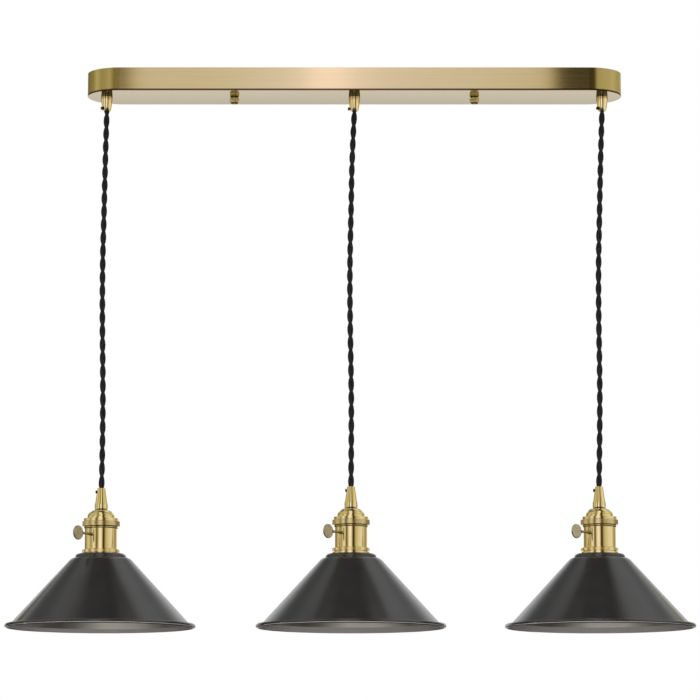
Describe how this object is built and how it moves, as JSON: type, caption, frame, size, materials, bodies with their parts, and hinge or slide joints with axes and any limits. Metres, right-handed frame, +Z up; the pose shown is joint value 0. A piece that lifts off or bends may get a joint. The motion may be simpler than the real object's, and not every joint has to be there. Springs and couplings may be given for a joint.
{
  "type": "pendant lamp",
  "caption": "Bar pendant lamp: conical dark shades on twisted black flex, brass lampholders with side switch keys, under a round-ended brass bar canopy.",
  "frame": {"origin": "middle of the ceiling strap's top face, in the ceiling's plane", "axes": "+X along the bar to the right in the picture, +Y from front to back, +Z up into the ceiling"},
  "size_m": [0.8879, 0.2452, 0.726],
  "materials": {
    "satin_brass": "satin, brushed along the bar",
    "polished_brass": "polished",
    "contact_brass": "plain",
    "zinc_steel": "zinc plated",
    "black_screw": "satin black",
    "shade_paint": "satin dark grey",
    "black_flex": "braided cotton",
    "porcelain": "unglazed white",
    "terminal_plastic": "moulded white"
  },
  "bodies": {
    "ceiling_fixture": {"canopy": "satin_brass", "ceiling_strap": "zinc_steel", "strap_studs": "zinc_steel", "stud_nuts": "zinc_steel", "finial_nuts": "polished_brass", "canopy_grip_left": "polished_brass", "canopy_grip_middle": "polished_brass", "canopy_grip_right": "polished_brass", "canopy_grip_screws": "black_screw", "canopy_grip_nuts": "polished_brass", "terminal_block": "terminal_plastic", "terminal_screws": "zinc_steel", "lead_left": "black_flex", "lead_middle": "black_flex", "lead_right": "black_flex"},
    "flex_left": {"flex_left": "black_flex"},
    "lamp_left": {"flex_tail_left": "black_flex", "lamp_grip_left": "polished_brass", "lamp_grip_screw_left": "black_screw", "socket_cap_left": "polished_brass", "union_ring_left": "polished_brass", "socket_shell_left": "polished_brass", "socket_core_left": "porcelain", "screw_shell_left": "contact_brass", "centre_contact_left": "contact_brass", "shade_ring_left": "polished_brass", "shade_left": "shade_paint", "shade_nut_left": "polished_brass"},
    "key_left": {"switch_key_left": "polished_brass", "switch_spindle_left": "zinc_steel"},
    "flex_middle": {"flex_middle": "black_flex"},
    "lamp_middle": {"flex_tail_middle": "black_flex", "lamp_grip_middle": "polished_brass", "lamp_grip_screw_middle": "black_screw", "socket_cap_middle": "polished_brass", "union_ring_middle": "polished_brass", "socket_shell_middle": "polished_brass", "socket_core_middle": "porcelain", "screw_shell_middle": "contact_brass", "centre_contact_middle": "contact_brass", "shade_ring_middle": "polished_brass", "shade_middle": "shade_paint", "shade_nut_middle": "polished_brass"},
    "key_middle": {"switch_key_middle": "polished_brass", "switch_spindle_middle": "zinc_steel"},
    "flex_right": {"flex_right": "black_flex"},
    "lamp_right": {"flex_tail_right": "black_flex", "lamp_grip_right": "polished_brass", "lamp_grip_screw_right": "black_screw", "socket_cap_right": "polished_brass", "union_ring_right": "polished_brass", "socket_shell_right": "polished_brass", "socket_core_right": "porcelain", "screw_shell_right": "contact_brass", "centre_contact_right": "contact_brass", "shade_ring_right": "polished_brass", "shade_right": "shade_paint", "shade_nut_right": "polished_brass"},
    "key_right": {"switch_key_right": "polished_brass", "switch_spindle_right": "zinc_steel"}
  },
  "joints": [
    {"name": "swing_left", "type": "hinge", "parent": "ceiling_fixture", "child": "flex_left", "pos_m": [-0.325, 0, -0.0487], "axis": [1, 0, 0], "range_deg": [-15, 15]},
    {"name": "tilt_left", "type": "hinge", "parent": "flex_left", "child": "lamp_left", "pos_m": [-0.32685, 0, -0.5457], "axis": [0, 1, 0], "range_deg": [-12, 12]},
    {"name": "key_turn_left", "type": "hinge", "parent": "lamp_left", "child": "key_left", "pos_m": [-0.32685, 0, -0.606], "axis": [-0.5835, -0.8121, 0], "continuous": true},
    {"name": "swing_middle", "type": "hinge", "parent": "ceiling_fixture", "child": "flex_middle", "pos_m": [0, 0, -0.0487], "axis": [1, 0, 0], "range_deg": [-15, 15]},
    {"name": "tilt_middle", "type": "hinge", "parent": "flex_middle", "child": "lamp_middle", "pos_m": [-0.0045, 0, -0.5436], "axis": [0, 1, 0], "range_deg": [-12, 12]},
    {"name": "key_turn_middle", "type": "hinge", "parent": "lamp_middle", "child": "key_middle", "pos_m": [-0.0045, 0, -0.6039], "axis": [-0.6428, -0.766, 0], "continuous": true},
    {"name": "swing_right", "type": "hinge", "parent": "ceiling_fixture", "child": "flex_right", "pos_m": [0.325, 0, -0.0487], "axis": [1, 0, 0], "range_deg": [-15, 15]},
    {"name": "tilt_right", "type": "hinge", "parent": "flex_right", "child": "lamp_right", "pos_m": [0.3159, 0, -0.5436], "axis": [0, 1, 0], "range_deg": [-12, 12]},
    {"name": "key_turn_right", "type": "hinge", "parent": "lamp_right", "child": "key_right", "pos_m": [0.3159, 0, -0.6039], "axis": [-0.6984, -0.7157, 0], "continuous": true}
  ]
}
